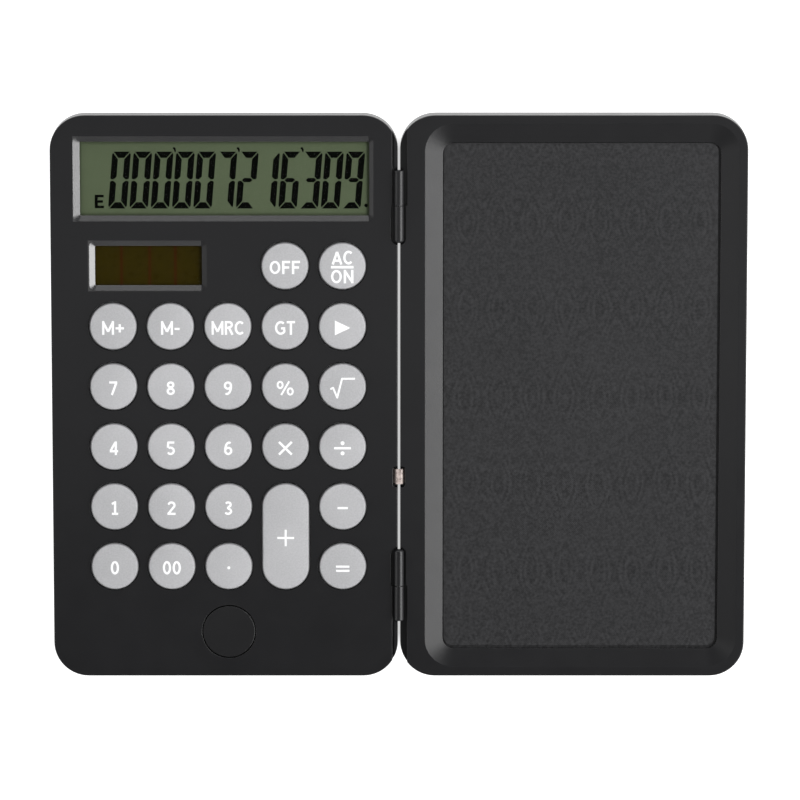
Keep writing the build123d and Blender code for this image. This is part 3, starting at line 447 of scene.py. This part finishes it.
def glyph(sign, h, s):
    """One sign as (patches, advance width): h is the cap height and s the stroke width."""
    r = s / 2
    top, mid = h - r, h / 2
    w = GLYPH_WIDTHS.get(sign, GLYPH_WIDTH) * h
    right = w - r
    lines = {
        "0": [outline(w, h, s)],
        "O": [outline(w, h, s)],
        "1": [
            [(0.02 * h, h * 0.80), (w * 0.62, top)],
            [(w * 0.62, h), (w * 0.62, 0)],
            [(0.02 * h, r), (w + 0.06 * h, r)],
        ],
        "2": [
            arc((w / 2, h - 0.29 * h), w / 2 - r, 0.29 * h - r, 160, -28) + [(r, r + 0.02 * h)],
            [(0, r), (w, r)],
        ],
        "3": [
            arc((w * 0.45, h * 0.755), w * 0.45 - r, h * 0.245 - r, 145, -90, 14),
            [(w * 0.32, h * 0.51), (w * 0.45, h * 0.51)],
            arc((w * 0.44, h * 0.268), w * 0.50 - r, h * 0.268 - r, 90, -145, 16),
        ],
        "4": [
            [(w * 0.72, 0), (w * 0.72, h)],
            [(w * 0.66, top), (r * 0.6, h * 0.30)],
            [(0, h * 0.28), (w, h * 0.28)],
        ],
        "5": [
            [(w * 0.90, top), (w * 0.16, top), (w * 0.12, h * 0.54)],
            arc((w * 0.44, h * 0.315), w * 0.52 - r, h * 0.315 - r, 125, -145, 20),
        ],
        "6": [
            arc((w / 2, h * 0.31), w / 2 - r, h * 0.31 - r, 90, 450, 28),
            arc((w * 0.62, h * 0.36), w * 0.62 - r, h * 0.64 - r, 182, 75, 16),
        ],
        "7": [[(0, top), (w - 0.3 * r, top)], [(right, top), (w * 0.30, 0)]],
        "8": [
            arc((w / 2, h * 0.745), w * 0.46 - r, h * 0.255 - r, 90, 450, 28),
            arc((w / 2, h * 0.275), w / 2 - r, h * 0.275 - r, 90, 450, 28),
        ],
        "9": [
            arc((w / 2, h * 0.69), w / 2 - r, h * 0.31 - r, 90, 450, 28),
            arc((w * 0.38, h * 0.64), w * 0.62 - r, h * 0.64 - r, 2, -105, 16),
        ],
        "A": [
            [(r * 0.6, 0), (w / 2, top)],
            [(w / 2, top), (w - r * 0.6, 0)],
            [(w * 0.24, h * 0.28), (w * 0.76, h * 0.28)],
        ],
        "C": [arc((w * 0.58, mid), w * 0.58 - r, mid - r, 48, 312, 26)],
        "E": [
            [(r, 0), (r, h)],
            [(0, top), (w * 0.92, top)],
            [(0, mid), (w * 0.84, mid)],
            [(0, r), (w * 0.94, r)],
        ],
        "F": [[(r, 0), (r, h)], [(0, top), (w, top)], [(0, mid), (w * 0.88, mid)]],
        "G": [
            arc((w * 0.56, mid), w * 0.56 - r, mid - r, 50, 322, 26) + [(right, h * 0.47)],
            [(w * 0.60, h * 0.47), (w, h * 0.47)],
        ],
        "M": [
            [(r, 0), (r, h)],
            [(r, top), (w / 2, h * 0.22)],
            [(w / 2, h * 0.22), (right, top)],
            [(right, 0), (right, h)],
        ],
        "N": [[(r, 0), (r, h)], [(r, top), (right, r)], [(right, 0), (right, h)]],
        "R": [
            [(r, 0), (r, h)],
            [(r, top), (w * 0.55, top)]
            + arc((w * 0.55, h * 0.735), w * 0.40 - r, h * 0.265 - r, 90, -90, 12)
            + [(r, h * 0.47)],
            [(w * 0.52, h * 0.47), (w * 0.90, 0)],
        ],
        "T": [[(0, top), (w, top)], [(w / 2, 0), (w / 2, top)]],
        "+": [[(0, mid * 0.94), (w, mid * 0.94)], [(w / 2, mid * 0.94 - w / 2), (w / 2, mid * 0.94 + w / 2)]],
        "-": [[(0, mid * 0.86), (w * 0.62, mid * 0.86)]],
    }
    patches = [patch for line in lines[sign] for patch in band(line, s)]
    advance = w * 0.62 if sign == "-" else w
    return patches, advance


def word(text, height, stroke, gap):
    """Patches of a short word, centred on the origin."""
    patches, x = [], 0.0
    for sign in text:
        shapes, advance = glyph(sign, height, stroke)
        patches += [[point + Vector((x, 0)) for point in patch] for patch in shapes]
        x += advance + gap
    shift = Vector(((gap - x) / 2, -height / 2))
    return [[point + shift for point in patch] for patch in patches]


def bar(width, height, centre=(0.0, 0.0)):
    """One upright rectangular patch."""
    x, y = centre
    return [
        Vector((x - width / 2, y - height / 2)),
        Vector((x + width / 2, y - height / 2)),
        Vector((x + width / 2, y + height / 2)),
        Vector((x - width / 2, y + height / 2)),
    ]


def moved(patches, x, y):
    """The same patches shifted by x and y."""
    return [[point + Vector((x, y)) for point in patch] for patch in patches]


def in_short_steps(patch, step):
    """The patch's outline with points no further apart than step."""
    outline_points = []
    for start, end in zip(patch, patch[1:] + patch[:1]):
        count = max(1, math.ceil((end - start).length / step))
        outline_points += [start.lerp(end, n / count) for n in range(count)]
    return outline_points


def inside(patch, x, y):
    """Whether a point lies in a patch: its outline then crosses the ray to +X an odd number of times."""
    crossings = 0
    for start, end in zip(patch, patch[1:] + patch[:1]):
        if (start.y > y) != (end.y > y):
            crossings += x < start.x + (y - start.y) * (end.x - start.x) / (end.y - start.y)
    return crossings % 2 == 1


def flat_figure(name, patches, surface_z, thickness, sink, step=0.5 * MM):
    """A thin closed solid of the union of flat patches, lying on the surface z = surface_z(x, y).

    step is the spacing of the points that let the figure follow a curved surface.
    """
    points, edges, boxes = [], [], []
    for patch in patches:
        fine = in_short_steps(patch, step)
        first, count = len(points), len(fine)
        edges += [(first + n, first + (n + 1) % count) for n in range(count)]
        points += fine
        xs, ys = [p.x for p in patch], [p.y for p in patch]
        boxes.append((min(xs), max(xs), min(ys), max(ys), patch))
    low_x, high_x = min(p.x for p in points), max(p.x for p in points)
    low_y, high_y = min(p.y for p in points), max(p.y for p in points)
    for i in range(1, int((high_x - low_x) / step)):
        for j in range(1, int((high_y - low_y) / step)):
            points.append(Vector((low_x + (i + 0.07) * step, low_y + (j + 0.13) * step)))
    merged, _, triangles, _, _, _ = delaunay_2d_cdt(points, edges, [], 0, 1e-7)
    mesh = bmesh.new()
    ceiling = [mesh.verts.new((p.x, p.y, surface_z(p.x, p.y) + thickness)) for p in merged]
    floor = [mesh.verts.new((p.x, p.y, surface_z(p.x, p.y) - sink)) for p in merged]
    kept = []
    for triangle in triangles:
        x, y = sum((merged[n] for n in triangle), Vector((0.0, 0.0))) / 3
        if any(l < x < r and b < y < t and inside(patch, x, y) for l, r, b, t, patch in boxes):
            kept.append(triangle)
    sides = {}
    for a, b, c in kept:
        mesh.faces.new([ceiling[a], ceiling[b], ceiling[c]])
        mesh.faces.new([floor[c], floor[b], floor[a]])
        sides.update({(a, b): True, (b, c): True, (c, a): True})
    for a, b in sides:
        if (b, a) not in sides:
            mesh.faces.new([ceiling[b], ceiling[a], floor[a], floor[b]])
    bmesh.ops.delete(mesh, geom=[v for v in mesh.verts if not v.link_faces], context="VERTS")
    bmesh.ops.recalc_face_normals(mesh, faces=mesh.faces)
    data = bpy.data.meshes.new(name)
    mesh.to_mesh(data)
    mesh.free()
    piece = bpy.data.objects.new(name, data)
    SCENE.collection.objects.link(piece)
    return piece


# sizes of the key legends: cap height, stroke widths, and how the print lies on the crowned key
CAP = 4.0 * MM
STROKE = 0.66 * MM
BOLD = 0.68 * MM
THIN = 0.56 * MM
LETTER_GAP = 0.42 * MM
PRINT_DROP = 0.35 * MM
PRINT_HEIGHT = 0.015 * MM
PRINT_SINK = 0.05 * MM
KEY_FLANGE = 0.9 * MM
KEY_EDGE = 0.6 * MM
KEY_CROWN = 0.22 * MM
LONG_KEY = 1.2


def digits(text):
    """A word in the size and weight of the digit keys."""
    return word(text, CAP, STROKE, LETTER_GAP)


def root_sign():
    """A square root sign with an open bar."""
    h = 5.5 * MM
    line = [
        (-3.5 * MM, -0.3 * MM),
        (-2.7 * MM, 0.1 * MM),
        (-1.5 * MM, -h / 2),
        (-0.1 * MM, h / 2),
        (3.6 * MM, h / 2),
    ]
    return band(line, THIN)


def percent_sign():
    """Two small ovals with a slanted stroke between them."""
    middles = [(side * 1.45 * MM, -side * 0.95 * MM) for side in (-1, 1)]
    rings = [arc(middle, 0.72 * MM, 0.92 * MM, 90, 450, 20) for middle in middles]
    patches = [patch for ring in rings for patch in band(ring, THIN)]
    return patches + band([(-1.15 * MM, -CAP / 2), (1.15 * MM, CAP / 2)], THIN)


def divide_sign():
    """A bar with a dot above and one below."""
    dots = [disc((0.0, side * 1.48 * MM), 0.58 * MM) for side in (-1, 1)]
    return [bar(4.85 * MM, 0.66 * MM)] + dots


def clear_stack():
    """AC over ON, with a bar between them."""
    upper = moved(word("AC", 4.0 * MM, BOLD, 0.32 * MM), 0.0, 2.85 * MM)
    lower = moved(word("ON", 3.9 * MM, BOLD, 0.52 * MM), 0.0, -2.65 * MM)
    return upper + lower + [bar(6.5 * MM, 0.75 * MM, (0.0, 0.08 * MM))]


def multiply_sign():
    """Two crossed strokes."""
    reach = 1.85 * MM
    return band([(-reach, -reach), (reach, reach)], BOLD) + band([(-reach, reach), (reach, -reach)], BOLD)


def play_sign():
    """A triangle that points to the right."""
    left, right, half_height = -2.15 * MM, 2.3 * MM, 2.15 * MM
    return [[Vector((left, -half_height)), Vector((right, 0)), Vector((left, half_height))]]


def equals_sign():
    """Two bars, a little below the middle of the key."""
    return [bar(3.9 * MM, 0.62 * MM, (0, (side * 0.62 - 0.28) * MM)) for side in (-1, 1)]


LEGENDS = {
    "key_off": lambda: word("OFF", 3.85 * MM, BOLD, 0.50 * MM),
    "key_ac_on": clear_stack,
    "key_m_plus": lambda: digits("M+"),
    "key_m_minus": lambda: digits("M-"),
    "key_mrc": lambda: word("MRC", CAP, STROKE, 0.36 * MM),
    "key_gt": lambda: digits("GT"),
    "key_check": play_sign,
    "key_percent": percent_sign,
    "key_root": root_sign,
    "key_multiply": multiply_sign,
    "key_divide": divide_sign,
    "key_minus": lambda: [bar(3.0 * MM, 0.62 * MM)],
    "key_plus": lambda: [bar(4.85 * MM, 0.62 * MM), bar(0.62 * MM, 4.85 * MM)],
    "key_equals": equals_sign,
    "key_point": lambda: [disc((0.0, 0.0), 0.45 * MM)],
    "key_00": lambda: digits("00"),
}
LEGENDS.update({f"key_{n}": (lambda n=n: digits(str(n))) for n in range(10)})


def print_legends():
    """The white legend of each key, lying on its crown and riding with it."""
    for key, draw in LEGENDS.items():
        low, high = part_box(key)
        centre, radius = (low + high) / 2, (high.x - low.x) / 2
        crown_radius = radius - KEY_FLANGE - KEY_EDGE
        is_round = (high.y - low.y) < LONG_KEY * (high.x - low.x)

        def crown(x, y, centre=centre, high=high, crown_radius=crown_radius, is_round=is_round):
            off_x, off_y = x - centre.x, (y - centre.y) if is_round else 0.0
            return high.z - KEY_CROWN * (off_x**2 + off_y**2) / crown_radius**2

        figure = moved(draw(), centre.x, centre.y - PRINT_DROP)
        piece = flat_figure(f"legend_{key[4:]}", figure, crown, PRINT_HEIGHT, PRINT_SINK)
        piece.data.materials.append(MATERIALS["legend_ink"])
        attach(piece, key)


# ---------------------------------------------------------------- display image
SEGMENTS = {
    "0": "abcdef", "1": "bc", "2": "abdeg", "3": "abcdg", "4": "bcfg",
    "5": "acdfg", "6": "acdefg", "7": "abc", "8": "abcdefg", "9": "abcdfg",
}
DISPLAY_NUMBER = "000007216309"
DIGIT_PITCH = 6.09 * MM
DIGIT_WIDTH = 5.32 * MM
DIGIT_HEIGHT = 16.4 * MM
DIGIT_SLANT = 0.0835
SEGMENT_WIDTH = 1.75 * MM
BAR_HALF = 0.60 * MM
FIRST_DIGIT = (9.38 * MM, 3.33 * MM)
TICK_AFTER = (3, 6, 9)
TICK_PLACE = (-0.50 * MM, 16.9 * MM)
TICK_MM = (
    (-0.66, 0.50), (-0.40, 0.78), (0.10, 0.70), (0.36, 0.15), (0.34, -0.60), (0.02, -0.62), (-0.20, 0.02),
)
POINT_PLACE = (0.80 * MM, 0.90 * MM)
POINT_RADIUS = 0.52 * MM
ERROR_SIGN_PLACE = (-3.78 * MM, 0.10 * MM)
ERROR_SIGN_HEIGHT = 3.85 * MM
ERROR_SIGN_STROKE = 0.72 * MM
ERROR_SIGN_STRETCH = 1.20
INK_HEIGHT = 0.02 * MM


def seven_segments():
    """The seven patches of one digit, its lower left corner at the origin, upright."""
    w, h, t, mid = DIGIT_WIDTH, DIGIT_HEIGHT, SEGMENT_WIDTH, DIGIT_HEIGHT / 2
    upper_left = [
        (0.0, mid + 0.50 * MM),
        (0.25 * t, mid + 0.21 * MM),
        (0.55 * t, mid + 0.21 * MM),
        (t, mid + 0.96 * MM),
        (t, h - 2.20 * MM),
        (0.28 * MM, h - 0.36 * MM),
        (0.0, h - 0.80 * MM),
    ]
    lower_left = [(x, h - y) for x, y in upper_left]
    upper_right = [(w - x, y) for x, y in upper_left]
    lower_right = [(w - x, h - y) for x, y in upper_left]
    left_half = [(1.80 * MM, h - 1.80 * MM), (0.36 * MM, h)]
    top = left_half + [(w - x, y) for x, y in reversed(left_half)]
    bottom = [(x, h - y) for x, y in top]
    left_half = [(1.74 * MM, mid - BAR_HALF), (1.14 * MM, mid), (1.74 * MM, mid + BAR_HALF)]
    middle = left_half + [(w - x, y) for x, y in reversed(left_half)]
    sides = {"b": upper_right, "c": lower_right, "e": lower_left, "f": upper_left}
    return {"a": top, "d": bottom, "g": middle, **sides}


def slanted(points, x, y):
    """The points leaning like the digits, shifted by x and y."""
    return [Vector((x + px + py * DIGIT_SLANT, y + py)) for px, py in points]


def draw_display():
    """The dark segments of the display, just above its glass."""
    ink_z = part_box("lcd_glass")[1].z
    lens_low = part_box("display_lens")[0]
    first_x, base_y = lens_low.x + FIRST_DIGIT[0], lens_low.y + FIRST_DIGIT[1]
    shapes = seven_segments()
    patches = []
    for place_number, digit in enumerate(DISPLAY_NUMBER):
        x = first_x + place_number * DIGIT_PITCH
        patches += [slanted(shapes[segment], x, base_y) for segment in SEGMENTS[digit]]
    tick = [(x * MM, y * MM) for x, y in TICK_MM]
    tick_x, tick_y = TICK_PLACE
    for after in TICK_AFTER:
        x = first_x + after * DIGIT_PITCH + tick_x + DIGIT_SLANT * tick_y
        patches.append(slanted(tick, x, base_y + tick_y))
    end_x = first_x + len(DISPLAY_NUMBER) * DIGIT_PITCH
    patches.append(disc((end_x + POINT_PLACE[0], base_y + POINT_PLACE[1]), POINT_RADIUS, 16))
    letter, _ = glyph("E", ERROR_SIGN_HEIGHT, ERROR_SIGN_STROKE)
    letter = [[Vector((p.x * ERROR_SIGN_STRETCH, p.y)) for p in patch] for patch in letter]
    patches += moved(letter, first_x + ERROR_SIGN_PLACE[0], base_y + ERROR_SIGN_PLACE[1])
    piece = flat_figure("display_segments", patches, lambda x, y: ink_z, INK_HEIGHT, 0.0)
    piece.data.materials.append(MATERIALS["display_ink"])
    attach(piece, "base")


# ---------------------------------------------------------------- ribbon cable
def make_ribbon():
    """Four copper tracks between clear films, with a small loop of slack across the hinge gap."""
    low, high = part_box("ribbon_cable")
    middle_y, strip_z = (low.y + high.y) / 2, high.z - 0.1 * MM
    loop_half, loop_rise = 1.48 * MM, 1.95 * MM
    tracks, pitch, track_width, film = 4, 1.1 * MM, 0.62 * MM, 0.06 * MM
    profile = [(low.x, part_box("main_board")[1].z), (low.x, strip_z), (-loop_half, strip_z)]
    steps, squareness = 24, 5
    for n in range(1, steps):
        x = -loop_half + 2 * loop_half * n / steps
        profile.append((x, strip_z + loop_rise * (1 - abs(x / loop_half) ** squareness)))
    tail_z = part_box("panel_tail")[1].z
    profile += [(loop_half, strip_z), (high.x, strip_z), (high.x, tail_z)]

    def strip(mesh, from_y, to_y, thickness, lift):
        rows = []
        for index, (x, z) in enumerate(profile):
            before, after = profile[max(index - 1, 0)], profile[min(index + 1, len(profile) - 1)]
            along = Vector((after[0] - before[0], after[1] - before[1])).normalized()
            normal = Vector((-along.y, along.x))
            ring = []
            for y, side in ((from_y, 1), (to_y, 1), (to_y, -1), (from_y, -1)):
                offset = normal * (lift + side * thickness / 2)
                ring.append(mesh.verts.new((x + offset.x, y, z + offset.y)))
            rows.append(ring)
        for first, second in zip(rows, rows[1:]):
            for n in range(4):
                mesh.faces.new([first[n], first[(n + 1) % 4], second[(n + 1) % 4], second[n]])
        mesh.faces.new(rows[0])
        mesh.faces.new(list(reversed(rows[-1])))

    mesh = bmesh.new()
    strip(mesh, low.y, high.y, film, 0.0)
    for track in range(tracks):
        y = middle_y + (track - (tracks - 1) / 2) * pitch
        strip(mesh, y - track_width / 2, y + track_width / 2, film, film * 0.9)
    bmesh.ops.recalc_face_normals(mesh, faces=mesh.faces)
    data = bpy.data.meshes.new("hinge_ribbon")
    mesh.to_mesh(data)
    mesh.free()
    piece = bpy.data.objects.new("hinge_ribbon", data)
    SCENE.collection.objects.link(piece)
    data.materials.append(MATERIALS["ribbon_film"])
    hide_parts("ribbon_cable")
    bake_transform(piece)


# ---------------------------------------------------------------- studio
FLOOR_HALF = 3.0
FLOOR_GLOW = 1.15
FLOOR_WHITE = 0.30
GAP_SHADE = 0.50
SHADE_BESIDE = (0.8 * MM, 3.0 * MM)
SHADE_ALONG = (71 * MM, 76 * MM)
FLOOR_DROP = 0.20 * MM
OVERHEAD_RADIANCE = 0.58
OVERHEAD_SIZE = (1.0, 0.14)
OVERHEAD_PLACE = (0.0, -0.03, 0.50)
SKY = ((0.0, 0.40), (0.35, 0.18), (0.75, 0.08), (1.0, 0.05))
# name, azimuth and zenith in degrees, size in metres, radiance
SOFT_BOXES = (
    ("right_upper", 0.0, 48.0, (2.4, 0.70), 5.6),
    ("right_lower", 0.0, 70.0, (2.4, 0.42), 4.0),
    ("left_low", 180.0, 71.0, (2.4, 0.42), 2.2),
    ("front_low", 270.0, 71.0, (2.4, 0.42), 1.1),
    ("rear_low", 90.0, 71.0, (2.4, 0.42), 2.2),
    ("left", 180.0, 40.0, (1.6, 0.90), 0.36),
    ("front", 270.0, 42.0, (1.6, 0.60), 0.25),
    ("rear", 90.0, 49.0, (2.0, 0.20), 2.0),
)


def make_floor():
    """A pale, evenly lit table top that glows a little, so that narrow gaps don't go black.

    The glow is weaker below the hinge gap, where little of the room reaches the table. Seen from below
    the table top is clear, so that the underside of the object shows.
    """
    mesh = bpy.data.meshes.new("floor")
    corners = [(x * FLOOR_HALF, y * FLOOR_HALF, 0) for x, y in ((-1, -1), (1, -1), (1, 1), (-1, 1))]
    mesh.from_pydata(corners, [], [(0, 1, 2, 3)])
    floor = bpy.data.objects.new("floor", mesh)
    floor.location.z = -FLOOR_DROP
    SCENE.collection.objects.link(floor)
    material, tree, shader = new_material("floor")
    shader.inputs["Base Color"].default_value = (FLOOR_WHITE, FLOOR_WHITE, FLOOR_WHITE, 1.0)
    shader.inputs["Roughness"].default_value = 0.9
    shader.inputs["Specular IOR Level"].default_value = 0.1
    shader.inputs["Emission Color"].default_value = (1.0, 1.0, 1.0, 1.0)
    axes = node(tree, "SeparateXYZ", {0: place(tree)}).outputs
    off_x, off_y = (math_node(tree, "ABSOLUTE", axes[axis]) for axis in (0, 1))
    beside = remap(tree, off_x, *SHADE_BESIDE, 1.0, 0.0)
    along = remap(tree, off_y, *SHADE_ALONG, 1.0, 0.0)
    shade = math_node(tree, "MULTIPLY", beside, along)
    glow = math_node(tree, "MULTIPLY_ADD", shade, -GAP_SHADE * FLOOR_GLOW, FLOOR_GLOW)
    link(tree, glow, shader, "Emission Strength")
    clear = node(tree, "BsdfTransparent").outputs["BSDF"]
    behind = node(tree, "NewGeometry").outputs["Backfacing"]
    one_sided = node(tree, "MixShader", {0: behind, 1: shader.outputs["BSDF"], 2: clear}).outputs[0]
    tree.links.new(one_sided, tree.nodes["Material Output"].inputs["Surface"])
    mesh.materials.append(material)


def soft_box(name, azimuth, zenith, size, radiance, distance=1.5):
    """A soft box facing the object; angles in degrees, azimuth from +X, zenith from straight up."""
    turn, lean = math.radians(azimuth), math.radians(zenith)
    towards = Vector((math.sin(lean) * math.cos(turn), math.sin(lean) * math.sin(turn), math.cos(lean)))
    light = bpy.data.lights.new(name, "AREA")
    light.shape = "RECTANGLE"
    light.size, light.size_y = size
    light.energy = radiance * math.pi * size[0] * size[1]
    lamp = bpy.data.objects.new(name, light)
    lamp.location = towards * distance
    lamp.rotation_mode = "QUATERNION"
    lamp.rotation_quaternion = (-towards).to_track_quat("-Z", "Y")
    lamp.visible_camera = False
    SCENE.collection.objects.link(lamp)


def overhead_panel():
    """A dim panel close above the display end; its reflection fades towards the erase button."""
    light = bpy.data.lights.new("overhead", "AREA")
    light.shape = "RECTANGLE"
    light.size, light.size_y = OVERHEAD_SIZE
    light.energy = OVERHEAD_RADIANCE * math.pi * light.size * light.size_y
    lamp = bpy.data.objects.new("overhead", light)
    lamp.location = OVERHEAD_PLACE
    lamp.visible_camera = False
    SCENE.collection.objects.link(lamp)


def make_studio():
    """Soft boxes high on the right and low all round, faint fills, and a room that is dark overhead."""
    for settings in SOFT_BOXES:
        soft_box(*settings)
    overhead_panel()
    world = bpy.data.worlds.new("studio")
    SCENE.world = world
    world.use_nodes = True
    tree = world.node_tree
    tree.nodes.clear()
    direction = node(tree, "TexCoord").outputs["Generated"]
    height = node(tree, "SeparateXYZ", {0: direction}).outputs[2]
    ramp = node(tree, "ValToRGB", {0: height})
    stops = ramp.color_ramp.elements
    while len(stops) < len(SKY):
        stops.new(0.5)
    for stop, (position, level) in zip(stops, SKY):
        stop.position = position
        stop.color = (level, level, level, 1.0)
    background = node(tree, "Background", {"Color": ramp.outputs["Color"], "Strength": 1.0})
    output = node(tree, "OutputWorld")
    tree.links.new(background.outputs[0], output.inputs["Surface"])
    SCENE.view_settings.view_transform = "Standard"


# the camera: metres, radians, millimetres of lens, and the point it looks at
CAMERA_DISTANCE = 1.7057
CAMERA_TILT = math.radians(9.42)
CAMERA_LENS = 266.84
AIM = Vector((0.29 * MM, -0.654 * MM, 8.5 * MM))


def make_camera():
    """A long lens almost straight above, leaning towards the display end."""
    data = bpy.data.cameras.new("camera")
    data.lens = CAMERA_LENS
    data.sensor_width = 36.0
    data.clip_start, data.clip_end = 0.05, 20.0
    camera = bpy.data.objects.new("camera", data)
    camera.location = AIM + CAMERA_DISTANCE * Vector((0.0, math.sin(CAMERA_TILT), math.cos(CAMERA_TILT)))
    camera.rotation_euler = (-CAMERA_TILT, 0.0, 0.0)
    SCENE.collection.objects.link(camera)
    SCENE.camera = camera


make_camera()
make_studio()
make_floor()
dress_cad_nodes()
print_legends()
draw_display()
make_ribbon()
